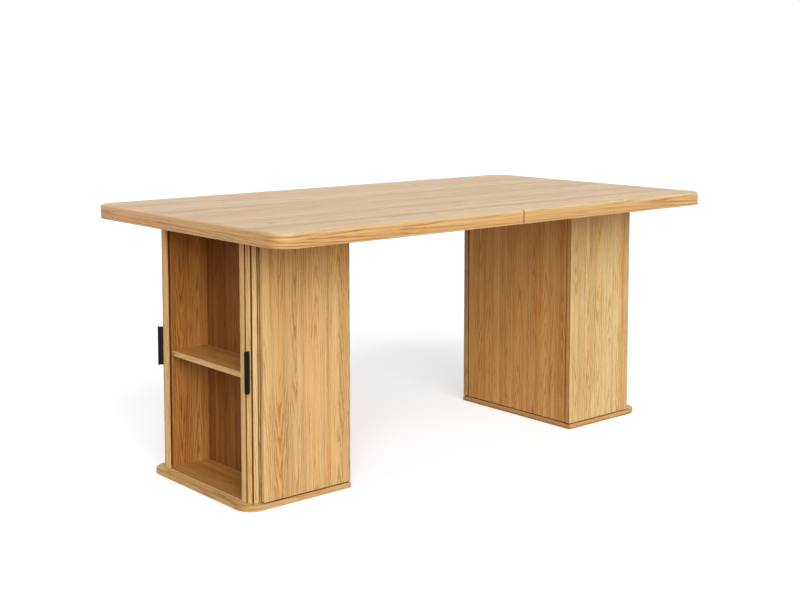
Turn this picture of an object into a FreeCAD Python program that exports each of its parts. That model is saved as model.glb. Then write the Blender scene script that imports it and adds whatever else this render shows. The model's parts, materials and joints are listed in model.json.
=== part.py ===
import FreeCAD, Part

import math
import os

# Dining table that stands on two storage cabinets closed by sliding curtain doors.
#
# Millimetres. X runs along the table, Y across it, Z up. The origin is on the floor under the
# middle of the table. Near is towards -Y and left towards -X.
#
# Each cabinet piece is drawn once, for the cabinet at +X and its +Y half, and mirrored from there
# to the other end and side. At that corner "outwards" means away from the table's middle.
#
# A door is a curtain of slats on a canvas backing. It runs in a track round the cabinet's corner,
# from the front into a pocket beside the shelves. Its first piece is a wide lead rail, the second
# a slat that carries the pull. Slats have numbered seats along the track: seat 0 touches the
# corner's start, lower seats lie on the front, higher ones on the corner and in the pocket.

Vector = FreeCAD.Vector
ORIGIN = Vector(0, 0, 0)
X_AXIS = Vector(1, 0, 0)
Y_AXIS = Vector(0, 1, 0)
UP = Vector(0, 0, 1)
DOWN = Vector(0, 0, -1)
QUARTER_TURN = 90.0
TOLERANCE = 1e-6

# The left cabinet's doors stand open and the right cabinet's are shut
SIDES = ((-1, "near"), (1, "far"))
CABINETS = ((-1, "left", True), (1, "right", False))

# Whole table
TABLE_LENGTH = 1690.0
TABLE_WIDTH = 946.0
TABLE_HEIGHT = 765.0

# Tabletop, in two halves that meet in the middle
TOP_THICKNESS = 40.0
TOP_CORNER_RADIUS = 60.0
TOP_EDGE_ROUND = 6.0
TOP_LOWER_ROUND = 2.0
SEAM_GAP = 0.3
SEAM_EASE = 1.0

# Cabinets
END_OVERHANG = 47.0
CABINET_DEPTH = 347.0
CABINET_WIDTH = 500.0
BOARD_THICKNESS = 15.0
BOARD_CORNER_RADIUS = 50.0
BOARD_EDGE_ROUND = 2.0
TOP_BOARD_SETBACK = 20.0
TOP_BOARD_CORNER_RADIUS = 32.0
SIDE_THICKNESS = 17.0
SIDE_SETBACK = 2.5
SIDE_EDGE_ROUND = 1.0
SIDE_FRONT_SETBACK = 2.5
SHADOW_GAP_HEIGHT = 3.0
SHADOW_GAP_DEPTH = 5.5
BACK_THICKNESS = 15.0
BACK_RECESS = 3.0
INNER_SIDE_THICKNESS = 15.0
PARTITION_THICKNESS = 9.0
INTERIOR_DEPTH = 121.0
LOWER_SPACE_HEIGHT = 326.0
SHELF_THICKNESS = 16.0
SHELF_END_CLEARANCE = 0.5

# Curtain doors and their track
TRACK_SETBACK = 27.0
CURTAIN_CORNER_RADIUS = 28.5
POCKET_CLEARANCE = 1.0
POCKET_WIDTH = 19.0
SLAT_THICKNESS = 6.0
SLAT_PITCH_WANTED = 14.3
SLAT_GAP = 0.4
SLAT_EDGE_ROUND = 1.6
LEAD_WIDTH = 22.0
MEETING_GAP = 1.0
SPARE_SLATS = 1
SWING_CLEARANCE = 6.0
DOOR_END_CLEARANCE = 0.5
TONGUE_THICKNESS = 4.0
TONGUE_LENGTH = 4.5
SLAT_TONGUE_WIDTH = 6.0
LEAD_TONGUE_INSET = 1.0
TRACK_CLEARANCE = 0.3
TRACK_DEPTH = 5.0
TRACK_RUN_OUT = 5.0
CANVAS_THICKNESS = 0.6
CANVAS_CLEARANCE = 0.1
CANVAS_END_INSET = 6.0

# Pulls
PULL_HEIGHT = 370.5
PULL_LENGTH = 114.0
PULL_LIP_WIDTH = 13.0
PULL_LIP_THICKNESS = 2.6
PULL_CORNER_RADIUS = 4.0
PULL_EDGE_ROUND = 0.6
PULL_STANDOFF = 15.0
PULL_WEB_THICKNESS = 6.4
PULL_WEB_INSET = 2.0
PULL_SCREW_SPACING = 76.0

# Feet
GLIDE_RADIUS = 11.0
GLIDE_THICKNESS = 3.0
GLIDE_PROUD = 1.0
GLIDE_INSET = 42.0
GLIDE_CLEARANCE = 0.1

# Beams and plates under the tabletop
BEAM_HEIGHT = 45.0
BEAM_THICKNESS = 22.0
BEAM_OFFSET = 150.0
BEAM_END_CLEARANCE = 1.0
BEAM_EDGE_ROUND = 2.0
BEAM_SCREW_INSET = 50.0
BEAM_SCREW_COUNT = 6
PLATE_LENGTH = 120.0
PLATE_WIDTH = 40.0
PLATE_THICKNESS = 2.5
PLATE_CORNER_RADIUS = 5.0
PLATE_EDGE_INSET = 145.0
PLATE_SCREW_INSET = 12.0
PLATE_SCREW_STEP = 28.0
DOWEL_RADIUS = 5.0
DOWEL_LENGTH = 60.0
DOWEL_COUNT = 6
DOWEL_EDGE_INSET = 87.5
DOWEL_END_CLEARANCE = 1.0

# Shelf pins
PIN_RADIUS = 2.5
PIN_DEPTH = 10.0
PIN_PAD_LENGTH = 9.0
PIN_PAD_WIDTH = 12.0
PIN_PAD_THICKNESS = 5.0
PIN_INSET = 22.0

# Screws, all with a countersunk head
HOLE_CLEARANCE = 0.05
HOLE_RUN_OUT = 0.5


class Screw:
    """One kind of countersunk screw: it passes through one piece and bites into the next."""

    def __init__(self, radius, head_radius, head_depth, passes, bites):
        self.radius = radius
        self.head_radius = head_radius
        self.head_depth = head_depth
        self.length = passes + bites


CABINET_SCREW = Screw(radius=2.5, head_radius=4.8, head_depth=3.0, passes=BOARD_THICKNESS, bites=30.0)
FIXING_SCREW = Screw(radius=2.2, head_radius=4.2, head_depth=2.6, passes=BOARD_THICKNESS, bites=18.0)
BEAM_SCREW = Screw(radius=2.5, head_radius=4.8, head_depth=3.0, passes=BEAM_HEIGHT, bites=20.0)
PLATE_SCREW = Screw(radius=1.8, head_radius=3.4, head_depth=2.0, passes=PLATE_THICKNESS, bites=9.0)
PULL_SCREW = Screw(radius=2.0, head_radius=3.7, head_depth=2.2, passes=SLAT_THICKNESS, bites=9.0)
CABINET_SCREW_INSET = 40.0
BACK_SCREW_INSET = 110.0
FIXING_SCREW_OFFSET = 100.0

# Heights
top_underside = TABLE_HEIGHT - TOP_THICKNESS
board_bottom = GLIDE_PROUD
inside_floor = board_bottom + BOARD_THICKNESS
inside_ceiling = top_underside - BOARD_THICKNESS
shelf_underside = inside_floor + LOWER_SPACE_HEIGHT
shelf_top = shelf_underside + SHELF_THICKNESS
door_bottom = inside_floor + DOOR_END_CLEARANCE
door_top = inside_ceiling - DOOR_END_CLEARANCE

# Cabinet, from its outer end inwards along X and from its side inwards along Y
board_end = TABLE_LENGTH / 2 - END_OVERHANG
cabinet_back = board_end - CABINET_DEPTH
curtain_face = board_end - TRACK_SETBACK
side_face = CABINET_WIDTH / 2 - SIDE_SETBACK
side_inside = side_face - SIDE_THICKNESS
pocket_face = side_inside - POCKET_CLEARANCE
inner_side_outside = side_inside - POCKET_WIDTH
interior_half_width = inner_side_outside - INNER_SIDE_THICKNESS
corner_x = curtain_face - CURTAIN_CORNER_RADIUS
corner_y = pocket_face - CURTAIN_CORNER_RADIUS
side_front = corner_x - SIDE_FRONT_SETBACK
back_outside = cabinet_back + BACK_RECESS
back_inside = back_outside + BACK_THICKNESS

# Curtain: slats touch the corner at their middles, so their joints lie a little outside it
slat_back_radius = CURTAIN_CORNER_RADIUS - SLAT_THICKNESS
track_radius = CURTAIN_CORNER_RADIUS - SLAT_THICKNESS / 2
lead_shut_trailing_edge = MEETING_GAP / 2 + LEAD_WIDTH
slats_across = round((corner_y - lead_shut_trailing_edge) / SLAT_PITCH_WANTED + 0.5)
slat_pitch = (corner_y - lead_shut_trailing_edge) / (slats_across - 0.5)
slat_width = slat_pitch - SLAT_GAP
slat_turn = 2 * math.degrees(math.atan(slat_pitch / 2 / slat_back_radius))
slats_on_corner = math.floor(QUARTER_TURN / slat_turn)
last_corner_joint = (slats_on_corner + 0.5) * slat_turn
joint_radius = math.hypot(slat_back_radius, slat_pitch / 2)
pocket_start = corner_x + joint_radius * math.cos(math.radians(last_corner_joint))
slat_count = slats_across + slats_on_corner + SPARE_SLATS
door_travel = slats_across * slat_pitch
last_seat_open = slat_count
last_seat_shut = slat_count - slats_across
grip_seat_open = 1
grip_seat_shut = grip_seat_open - slats_across
curtain_back = curtain_face - SLAT_THICKNESS
pull_web_reach = PULL_STANDOFF - PULL_LIP_THICKNESS

# Shelf space, set back so that the grip slat can swing round the corner
inner_side_front = curtain_back - slat_pitch * math.sin(math.radians(slat_turn)) - SWING_CLEARANCE
partition_face = inner_side_front - INTERIOR_DEPTH
partition_back = partition_face - PARTITION_THICKNESS


def box(x_span, y_span, z_span):
    """A box between two values along each axis."""
    sizes = [high - low for low, high in (x_span, y_span, z_span)]
    return Part.makeBox(*sizes, Vector(x_span[0], y_span[0], z_span[0]))


def is_upright(edge):
    return edge.BoundBox.XLength < TOLERANCE and edge.BoundBox.YLength < TOLERANCE


def upright_edges_at(shape, x):
    return [e for e in shape.Edges if is_upright(e) and abs(e.BoundBox.XMin - x) < TOLERANCE]


def flat_edges_at(shape, z):
    """The edges that lie in the horizontal plane at height z."""
    return [e for e in shape.Edges if max(abs(e.BoundBox.ZMin - z), abs(e.BoundBox.ZMax - z)) < TOLERANCE]


def rounded_slab(x_span, half_width, z_span, radius):
    """A slab centred on the X axis, with its two corners at the high end of X rounded."""
    slab = box(x_span, (-half_width, half_width), z_span)
    return slab.makeFillet(radius, upright_edges_at(slab, x_span[1]))


def with_round_rims(shape, radius):
    """Round a slab's upper and lower rims."""
    rims = flat_edges_at(shape, shape.BoundBox.ZMin) + flat_edges_at(shape, shape.BoundBox.ZMax)
    return shape.makeFillet(radius, rims)


def to_corner(shape, end, side=1):
    """Send a piece drawn towards +X and +Y to its end and side of the table."""
    if end < 0:
        shape = shape.mirror(ORIGIN, X_AXIS)
    if side < 0:
        shape = shape.mirror(ORIGIN, Y_AXIS)
    return shape


def moved(shape, x=0.0, y=0.0, z=0.0):
    copy = shape.copy()
    copy.translate(Vector(x, y, z))
    return copy


def turned(shape, centre, degrees):
    """A copy turned about an upright line through centre."""
    copy = shape.copy()
    copy.rotate(centre, UP, degrees)
    return copy


def export(name, *solids):
    """Write one node: a single solid, or a group of identical pieces."""
    shape = solids[0] if len(solids) == 1 else Part.Compound(list(solids))
    shape.exportStep("parts/" + name + ".step")


# Screws


def screw_body(kind, at, direction, clearance=0.0, run_out=0.0):
    """A screw whose head is flush at a point; with clearance, the hole that it needs."""
    radius = kind.radius + clearance
    head_radius = kind.head_radius + clearance
    shank = Part.makeCylinder(radius, kind.length + run_out, at, direction)
    head = Part.makeCone(head_radius, radius, kind.head_depth, at, direction)
    return shank.fuse(head).removeSplitter()


def screws(kind, places, direction):
    return [screw_body(kind, at, direction) for at in places]


def drilled(shape, kind, places, direction):
    """The shape with a fitting hole for each screw."""
    holes = [screw_body(kind, at, direction, HOLE_CLEARANCE, HOLE_RUN_OUT) for at in places]
    return shape.cut(Part.Compound(holes))


def both_sides(places):
    """The places and their mirror images across the table."""
    return list(places) + [Vector(p.x, -p.y, p.z) for p in places]


def evenly(low, high, count):
    return [low + (high - low) * i / (count - 1) for i in range(count)]


# Tabletop, its joints and its beams


def fixing_screw_places():
    """Through a cabinet's top board into the tabletop, behind and before the partition."""
    behind = (back_inside + partition_back) / 2
    before = (partition_face + inner_side_front) / 2
    return both_sides([Vector(x, FIXING_SCREW_OFFSET, inside_ceiling) for x in (behind, before)])


def beam_screw_places():
    reach = cabinet_back - BEAM_END_CLEARANCE - BEAM_SCREW_INSET
    height = top_underside - BEAM_HEIGHT
    return [Vector(x, BEAM_OFFSET, height) for x in evenly(-reach, reach, BEAM_SCREW_COUNT)]


def plate_centres():
    offset = TABLE_WIDTH / 2 - PLATE_EDGE_INSET
    return [-offset, 0.0, offset]


def plate_screw_places():
    outer = PLATE_LENGTH / 2 - PLATE_SCREW_INSET
    inner = outer - PLATE_SCREW_STEP
    height = top_underside - PLATE_THICKNESS
    return [Vector(x, y, height) for y in plate_centres() for x in (-outer, -inner, inner, outer)]


def dowel(y, clearance=0.0, end_clearance=0.0):
    half = DOWEL_LENGTH / 2 + end_clearance
    height = top_underside + TOP_THICKNESS / 2
    return Part.makeCylinder(DOWEL_RADIUS + clearance, 2 * half, Vector(-half, y, height), X_AXIS)


def dowel_centres():
    offset = TABLE_WIDTH / 2 - DOWEL_EDGE_INSET
    return evenly(-offset, offset, DOWEL_COUNT)


def tabletop_half():
    """The half of the tabletop towards +X."""
    seam = SEAM_GAP / 2
    x_span = (seam, TABLE_LENGTH / 2)
    slab = rounded_slab(x_span, TABLE_WIDTH / 2, (top_underside, TABLE_HEIGHT), TOP_CORNER_RADIUS)
    for height, radius in ((TABLE_HEIGHT, TOP_EDGE_ROUND), (top_underside, TOP_LOWER_ROUND)):
        rim = [e for e in flat_edges_at(slab, height) if e.BoundBox.XMax > seam + TOLERANCE]
        slab = slab.makeFillet(radius, rim)
    slab = slab.makeChamfer(SEAM_EASE, upright_edges_at(slab, seam))
    slab = drilled(slab, FIXING_SCREW, fixing_screw_places(), UP)
    slab = drilled(slab, BEAM_SCREW, both_sides(beam_screw_places()), UP)
    slab = drilled(slab, PLATE_SCREW, plate_screw_places(), UP)
    return slab.cut([dowel(y, HOLE_CLEARANCE, DOWEL_END_CLEARANCE) for y in dowel_centres()])


def support_beam():
    """A beam that crosses the seam between the two cabinets."""
    reach = cabinet_back - BEAM_END_CLEARANCE
    y_span = (BEAM_OFFSET - BEAM_THICKNESS / 2, BEAM_OFFSET + BEAM_THICKNESS / 2)
    beam = box((-reach, reach), y_span, (top_underside - BEAM_HEIGHT, top_underside))
    lower = [e for e in flat_edges_at(beam, top_underside - BEAM_HEIGHT) if e.BoundBox.XLength > reach]
    return drilled(beam.makeFillet(BEAM_EDGE_ROUND, lower), BEAM_SCREW, beam_screw_places(), UP)


def joining_plate(y):
    half_length = PLATE_LENGTH / 2
    y_span = (y - PLATE_WIDTH / 2, y + PLATE_WIDTH / 2)
    plate = box((-half_length, half_length), y_span, (top_underside - PLATE_THICKNESS, top_underside))
    plate = plate.makeFillet(PLATE_CORNER_RADIUS, [e for e in plate.Edges if is_upright(e)])
    own_screws = [at for at in plate_screw_places() if abs(at.y - y) < TOLERANCE]
    return drilled(plate, PLATE_SCREW, own_screws, UP)


def make_tabletop():
    half = tabletop_half()
    export("tabletop_right", half)
    export("tabletop_left", to_corner(half, -1))
    beam = support_beam()
    export("support_beam_far", beam)
    export("support_beam_near", to_corner(beam, 1, -1))
    export("beam_screws", *screws(BEAM_SCREW, both_sides(beam_screw_places()), UP))
    export("joining_plates", *[joining_plate(y) for y in plate_centres()])
    export("joining_plate_screws", *screws(PLATE_SCREW, plate_screw_places(), UP))
    export("seam_dowels", *[dowel(y) for y in dowel_centres()])


# Cabinet boards


def upright_board_screw_places():
    """Where screws enter the upright boards: two in each side, inner side and half of the back."""
    side_centre = (side_face + side_inside) / 2
    inner_centre = (inner_side_outside + interior_half_width) / 2
    back_centre = (back_outside + back_inside) / 2
    side_ends = (cabinet_back + CABINET_SCREW_INSET, side_front - CABINET_SCREW_INSET)
    inner_ends = (back_inside + CABINET_SCREW_INSET, inner_side_front - CABINET_SCREW_INSET)
    flat_places = [(x, side_centre) for x in side_ends]
    flat_places += [(x, inner_centre) for x in inner_ends]
    flat_places.append((back_centre, side_inside - BACK_SCREW_INSET))
    return flat_places


def cabinet_screw_places(height):
    return both_sides([Vector(x, y, height) for x, y in upright_board_screw_places()])


def cabinet_drilled(shape):
    """Holes for the screws that come up through the base board and down through the top board."""
    shape = drilled(shape, CABINET_SCREW, cabinet_screw_places(board_bottom), UP)
    return drilled(shape, CABINET_SCREW, cabinet_screw_places(top_underside), DOWN)


def track_groove(z_span):
    """The groove that both curtains run in: across the front, round the corners, along the pockets."""
    half_width = TONGUE_THICKNESS / 2 + TRACK_CLEARANCE
    groove_end = pocket_start - (last_seat_open - slats_on_corner) * slat_pitch - TRACK_RUN_OUT
    outer, inner = [
        rounded_slab(
            (groove_end, corner_x + track_radius + offset),
            corner_y + track_radius + offset,
            z_span,
            track_radius + offset,
        )
        for offset in (half_width, -half_width)
    ]
    return outer.cut(inner)


def cabinet_board(z_span, end, corner_radius):
    """A board as wide as the cabinet, from its inner end to an outer end with rounded corners."""
    slab = rounded_slab((cabinet_back, end), CABINET_WIDTH / 2, z_span, corner_radius)
    return with_round_rims(slab, BOARD_EDGE_ROUND)


def glide_centres():
    ends = (cabinet_back + GLIDE_INSET, board_end - GLIDE_INSET)
    return both_sides([Vector(x, CABINET_WIDTH / 2 - GLIDE_INSET, 0) for x in ends])


def glide(at, clearance=0.0):
    return Part.makeCylinder(GLIDE_RADIUS + clearance, GLIDE_THICKNESS, at, UP)


def base_board():
    board = cabinet_board((board_bottom, inside_floor), board_end, BOARD_CORNER_RADIUS)
    board = board.cut(track_groove((inside_floor - TRACK_DEPTH, inside_floor)))
    board = board.cut(Part.Compound([glide(at, GLIDE_CLEARANCE) for at in glide_centres()]))
    return cabinet_drilled(board)


def top_board():
    """Shorter than the base board, so that it stays hidden under the tabletop."""
    board_span = (inside_ceiling, top_underside)
    board = cabinet_board(board_span, board_end - TOP_BOARD_SETBACK, TOP_BOARD_CORNER_RADIUS)
    board = board.cut(track_groove((inside_ceiling, inside_ceiling + TRACK_DEPTH)))
    board = drilled(board, FIXING_SCREW, fixing_screw_places(), UP)
    return cabinet_drilled(board)


def outer_side():
    """A cabinet's side, whose foot is cut back to leave a shadow line above the base board."""
    board = box((cabinet_back, side_front), (side_inside, side_face), (inside_floor, inside_ceiling))
    board = board.makeFillet(SIDE_EDGE_ROUND, upright_edges_at(board, side_front))
    foot = (inside_floor, inside_floor + SHADOW_GAP_HEIGHT)
    along_face = box((cabinet_back, side_front), (side_face - SHADOW_GAP_DEPTH, side_face), foot)
    along_front = box((side_front - SHADOW_GAP_DEPTH, side_front), (side_inside, side_face), foot)
    return cabinet_drilled(board.cut([along_face, along_front]))


def inner_side():
    """The board between the shelf space and the pocket, with holes for the shelf pins."""
    y_span = (interior_half_width, inner_side_outside)
    board = box((back_inside, inner_side_front), y_span, (inside_floor, inside_ceiling))
    board = board.makeFillet(SIDE_EDGE_ROUND, upright_edges_at(board, inner_side_front))
    holes = [shelf_pin_shank(x, HOLE_CLEARANCE, HOLE_RUN_OUT) for x in shelf_pin_centres()]
    return cabinet_drilled(board.cut(holes))


def back_panel():
    """The board at the cabinet's inner end, with the same shadow line at its foot."""
    board = box((back_outside, back_inside), (-side_inside, side_inside), (inside_floor, inside_ceiling))
    foot_x = (back_outside, back_outside + SHADOW_GAP_DEPTH)
    foot = box(foot_x, (-side_inside, side_inside), (inside_floor, inside_floor + SHADOW_GAP_HEIGHT))
    return cabinet_drilled(board.cut(foot))


def partition():
    """The false back of the shelf space."""
    y_span = (-interior_half_width, interior_half_width)
    return box((partition_back, partition_face), y_span, (inside_floor, inside_ceiling))


def shelf():
    half_width = interior_half_width - SHELF_END_CLEARANCE
    board = box((partition_face, inner_side_front), (-half_width, half_width), (shelf_underside, shelf_top))
    at_front = [e for e in board.Edges if e.BoundBox.XMin > inner_side_front - TOLERANCE]
    return board.makeFillet(SIDE_EDGE_ROUND, [e for e in at_front if not is_upright(e)])


def shelf_pin_centres():
    return (partition_face + PIN_INSET, inner_side_front - PIN_INSET)


def shelf_pin_shank(x, clearance=0.0, run_out=0.0):
    """The round part that enters the inner side; the shelf rests on the pad beside it."""
    at = Vector(x, interior_half_width, shelf_underside - PIN_PAD_THICKNESS / 2)
    return Part.makeCylinder(PIN_RADIUS + clearance, PIN_DEPTH + run_out, at, Y_AXIS)


def shelf_pin(x):
    x_span = (x - PIN_PAD_WIDTH / 2, x + PIN_PAD_WIDTH / 2)
    y_span = (interior_half_width - PIN_PAD_LENGTH, interior_half_width)
    pad = box(x_span, y_span, (shelf_underside - PIN_PAD_THICKNESS, shelf_underside))
    return shelf_pin_shank(x).fuse(pad).removeSplitter()


def make_cabinet(end, name):
    export(name + "_base_board", to_corner(base_board(), end))
    export(name + "_top_board", to_corner(top_board(), end))
    export(name + "_back_panel", to_corner(back_panel(), end))
    export(name + "_partition", to_corner(partition(), end))
    export(name + "_shelf", to_corner(shelf(), end))
    for side, side_name in SIDES:
        export(name + "_" + side_name + "_side", to_corner(outer_side(), end, side))
        export(name + "_" + side_name + "_inner_side", to_corner(inner_side(), end, side))
    pins = [to_corner(shelf_pin(x), end, side) for x in shelf_pin_centres() for side, _ in SIDES]
    export(name + "_shelf_pins", *pins)
    export(name + "_glides", *[to_corner(glide(at), end) for at in glide_centres()])
    cabinet_screws = screws(CABINET_SCREW, cabinet_screw_places(board_bottom), UP)
    cabinet_screws += screws(CABINET_SCREW, cabinet_screw_places(top_underside), DOWN)
    export(name + "_cabinet_screws", *[to_corner(s, end) for s in cabinet_screws])
    fixing_screws = screws(FIXING_SCREW, fixing_screw_places(), UP)
    export(name + "_fixing_screws", *[to_corner(s, end) for s in fixing_screws])


# Curtain doors


def slat_bar(width):
    """A plain slat that touches the corner's start with its middle."""
    y_span = (corner_y - width / 2, corner_y + width / 2)
    bar = box((curtain_back, curtain_face), y_span, (door_bottom, door_top))
    return bar.makeFillet(SLAT_EDGE_ROUND, upright_edges_at(bar, curtain_face))


def tongues(y_span):
    """The thinner ends that enter the tracks in the base board and the top board."""
    middle = curtain_back + SLAT_THICKNESS / 2
    x_span = (middle - TONGUE_THICKNESS / 2, middle + TONGUE_THICKNESS / 2)
    lower = box(x_span, y_span, (inside_floor - TONGUE_LENGTH, door_bottom))
    upper = box(x_span, y_span, (door_top, inside_ceiling + TONGUE_LENGTH))
    return [lower, upper]


def curtain_slat():
    half = SLAT_TONGUE_WIDTH / 2
    return slat_bar(slat_width).fuse(tongues((corner_y - half, corner_y + half))).removeSplitter()


def seated(slat, seat):
    """A slat drawn at seat 0, taken along the track to another seat."""
    if seat <= 0:
        return moved(slat, y=seat * slat_pitch)
    corner = Vector(corner_x, corner_y, 0)
    if seat <= slats_on_corner:
        return turned(slat, corner, seat * slat_turn)
    distance = corner_x - pocket_start + (seat - slats_on_corner - 0.5) * slat_pitch
    return moved(turned(slat, corner, QUARTER_TURN), x=-distance)


def lead_rail(is_open):
    """The wide first piece, drawn shut and slid back by the door's travel when open."""
    y_start = MEETING_GAP / 2
    bar = moved(slat_bar(LEAD_WIDTH), y=y_start + LEAD_WIDTH / 2 - corner_y)
    tongue_end = lead_shut_trailing_edge - slat_pitch / 2 - LEAD_TONGUE_INSET
    bar = bar.fuse(tongues((y_start + LEAD_TONGUE_INSET, tongue_end))).removeSplitter()
    return moved(bar, y=door_travel if is_open else 0.0)


def pull_screw_places():
    half = PULL_SCREW_SPACING / 2
    return [Vector(curtain_back, corner_y, PULL_HEIGHT + offset) for offset in (-half, half)]


def grip_slat():
    """The slat that carries the pull, at seat 0; it has no tongues, so that it can swing freely."""
    return drilled(slat_bar(slat_width), PULL_SCREW, pull_screw_places(), X_AXIS)


def pull():
    """A bar pull at seat 0: a web that stands off the slat and a wider lip to hook a finger behind."""
    lip_x = (curtain_face + pull_web_reach, curtain_face + PULL_STANDOFF)
    lip_y = (corner_y - PULL_LIP_WIDTH / 2, corner_y + PULL_LIP_WIDTH / 2)
    lip = box(lip_x, lip_y, (PULL_HEIGHT - PULL_LENGTH / 2, PULL_HEIGHT + PULL_LENGTH / 2))
    lip = lip.makeFillet(PULL_CORNER_RADIUS, [e for e in lip.Edges if e.BoundBox.XLength > TOLERANCE])
    rim = [e for e in lip.Edges if e.BoundBox.XMin > lip_x[1] - TOLERANCE]
    lip = lip.makeFillet(PULL_EDGE_ROUND, rim)
    web_half_length = PULL_LENGTH / 2 - PULL_WEB_INSET
    web_y = (corner_y - PULL_WEB_THICKNESS / 2, corner_y + PULL_WEB_THICKNESS / 2)
    web_z = (PULL_HEIGHT - web_half_length, PULL_HEIGHT + web_half_length)
    web = box((curtain_face, lip_x[0]), web_y, web_z)
    return drilled(lip.fuse(web).removeSplitter(), PULL_SCREW, pull_screw_places(), X_AXIS)


def corner_sheet(outer_radius, start, z_span):
    """A curved sheet of canvas round the corner, from the angle start to the pocket."""
    height = z_span[1] - z_span[0]
    at = Vector(corner_x, corner_y, z_span[0])
    outer, inner = [
        Part.makeCylinder(radius, height, at, UP, QUARTER_TURN - start)
        for radius in (outer_radius, outer_radius - CANVAS_THICKNESS)
    ]
    return turned(outer.cut(inner), at, start)


def canvas(is_open):
    """The cloth that joins the slats, along the backs of all the seats that the curtain fills."""
    z_span = (door_bottom + CANVAS_END_INSET, door_top - CANVAS_END_INSET)
    outer_radius = slat_back_radius - CANVAS_CLEARANCE
    last_seat = last_seat_open if is_open else last_seat_shut
    x_end = pocket_start - (last_seat - slats_on_corner) * slat_pitch
    pocket_y = (corner_y + outer_radius - CANVAS_THICKNESS, corner_y + outer_radius)
    in_pocket = box((x_end, corner_x), pocket_y, z_span)
    start = (grip_seat_open + 0.5) * slat_turn if is_open else 0.0
    pieces = [corner_sheet(outer_radius, start, z_span)]
    if not is_open:
        front_x = (corner_x + outer_radius - CANVAS_THICKNESS, corner_x + outer_radius)
        front_y = (corner_y + (grip_seat_shut + 0.5) * slat_pitch, corner_y)
        pieces.append(box(front_x, front_y, z_span))
    return in_pocket.fuse(pieces).removeSplitter()


def make_door(end, side, name, is_open):
    grip_seat = grip_seat_open if is_open else grip_seat_shut
    last_seat = last_seat_open if is_open else last_seat_shut
    export(name + "_lead_rail", to_corner(lead_rail(is_open), end, side))
    export(name + "_grip_slat", to_corner(seated(grip_slat(), grip_seat), end, side))
    export(name + "_pull", to_corner(seated(pull(), grip_seat), end, side))
    pull_screws = screws(PULL_SCREW, pull_screw_places(), X_AXIS)
    export(name + "_pull_screws", *[to_corner(seated(s, grip_seat), end, side) for s in pull_screws])
    slat = curtain_slat()
    seats = range(grip_seat + 1, last_seat + 1)
    export(name + "_curtain_slats", *[to_corner(seated(slat, seat), end, side) for seat in seats])
    export(name + "_curtain_canvas", to_corner(canvas(is_open), end, side))


os.makedirs("parts", exist_ok=True)
make_tabletop()
for cabinet_end, cabinet_name, doors_open in CABINETS:
    make_cabinet(cabinet_end, cabinet_name)
    for door_side, door_side_name in SIDES:
        make_door(cabinet_end, door_side, cabinet_name + "_" + door_side_name, doors_open)

print("door travel", round(door_travel, 3))
print("slat pitch and turn", round(slat_pitch, 3), round(slat_turn, 3))
print("grip hinge, x, y open and y shut", round(curtain_back, 3))
print(round(corner_y + slat_pitch / 2, 3), round(lead_shut_trailing_edge, 3))
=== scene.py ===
import json
import math
import random

import bmesh
import bpy
from mathutils import Matrix, Vector


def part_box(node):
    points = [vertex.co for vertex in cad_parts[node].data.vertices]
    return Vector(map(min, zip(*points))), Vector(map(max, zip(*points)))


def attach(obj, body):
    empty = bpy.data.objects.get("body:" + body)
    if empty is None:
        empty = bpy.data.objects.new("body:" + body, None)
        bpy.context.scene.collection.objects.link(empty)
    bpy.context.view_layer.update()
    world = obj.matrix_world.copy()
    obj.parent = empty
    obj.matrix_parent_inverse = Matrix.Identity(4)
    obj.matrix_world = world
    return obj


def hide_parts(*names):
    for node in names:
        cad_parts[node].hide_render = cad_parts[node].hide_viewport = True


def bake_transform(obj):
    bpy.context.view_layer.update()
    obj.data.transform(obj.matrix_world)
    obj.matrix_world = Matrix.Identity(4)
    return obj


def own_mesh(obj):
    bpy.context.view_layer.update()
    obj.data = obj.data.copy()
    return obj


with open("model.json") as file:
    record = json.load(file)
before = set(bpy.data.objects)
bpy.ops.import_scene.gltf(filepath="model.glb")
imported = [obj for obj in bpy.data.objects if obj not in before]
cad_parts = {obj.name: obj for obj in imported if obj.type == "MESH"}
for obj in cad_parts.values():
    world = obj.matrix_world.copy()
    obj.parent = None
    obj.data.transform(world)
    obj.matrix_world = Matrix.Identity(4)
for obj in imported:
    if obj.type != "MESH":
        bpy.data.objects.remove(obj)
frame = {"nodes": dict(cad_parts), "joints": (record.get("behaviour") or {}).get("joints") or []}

# Dining table on two storage cabinets with sliding curtain doors. Metres, X along the table,
# Y across it, Z up, with the origin on the floor under the middle.

NODES = frame["nodes"]
JOINTS = {joint["name"]: joint for joint in frame["joints"]}
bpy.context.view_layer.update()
MM = 0.001
TINY = 0.01 * MM

# Each cabinet's end of the table, its name, and whether its doors stand open; then the sides
CABINETS = ((-1, "left", True), (1, "right", False))
SIDES = ((-1, "near"), (1, "far"))

# Camera: dipped a little, with its lens shifted down, so that the upright edges stay nearly upright
CAMERA_PLACE = (-2.6568, -3.0331, 1.1613)
CAMERA_TURN = -0.70873
CAMERA_DIP = 0.0907
SENSOR_WIDTH = 36.0
LENS = 58.793
SHIFT_DOWN = 0.14

# Light: a broad soft sun from the front and a pale warm sky
SUN_STRENGTH = 2.6
SUN_SPREAD = math.radians(50)
SUN_DIRECTION = (-0.42, -0.78, 0.49)
SKY_ABOVE = (0.44, 0.44, 0.43, 1.0)
SKY_ROUND = (0.70, 0.57, 0.41, 1.0)
SKY_TURNS = (0.1, 0.8)
FLOOR_SIZE = 200.0
FLOOR_BOUNCE = (0.50, 0.38, 0.24, 1.0)
FLOOR_SEEN = (0.78, 0.84, 0.92, 1.0)
FLOOR_LIFT = 0.42
WHITE = (1.0, 1.0, 1.0, 1.0)

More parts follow.
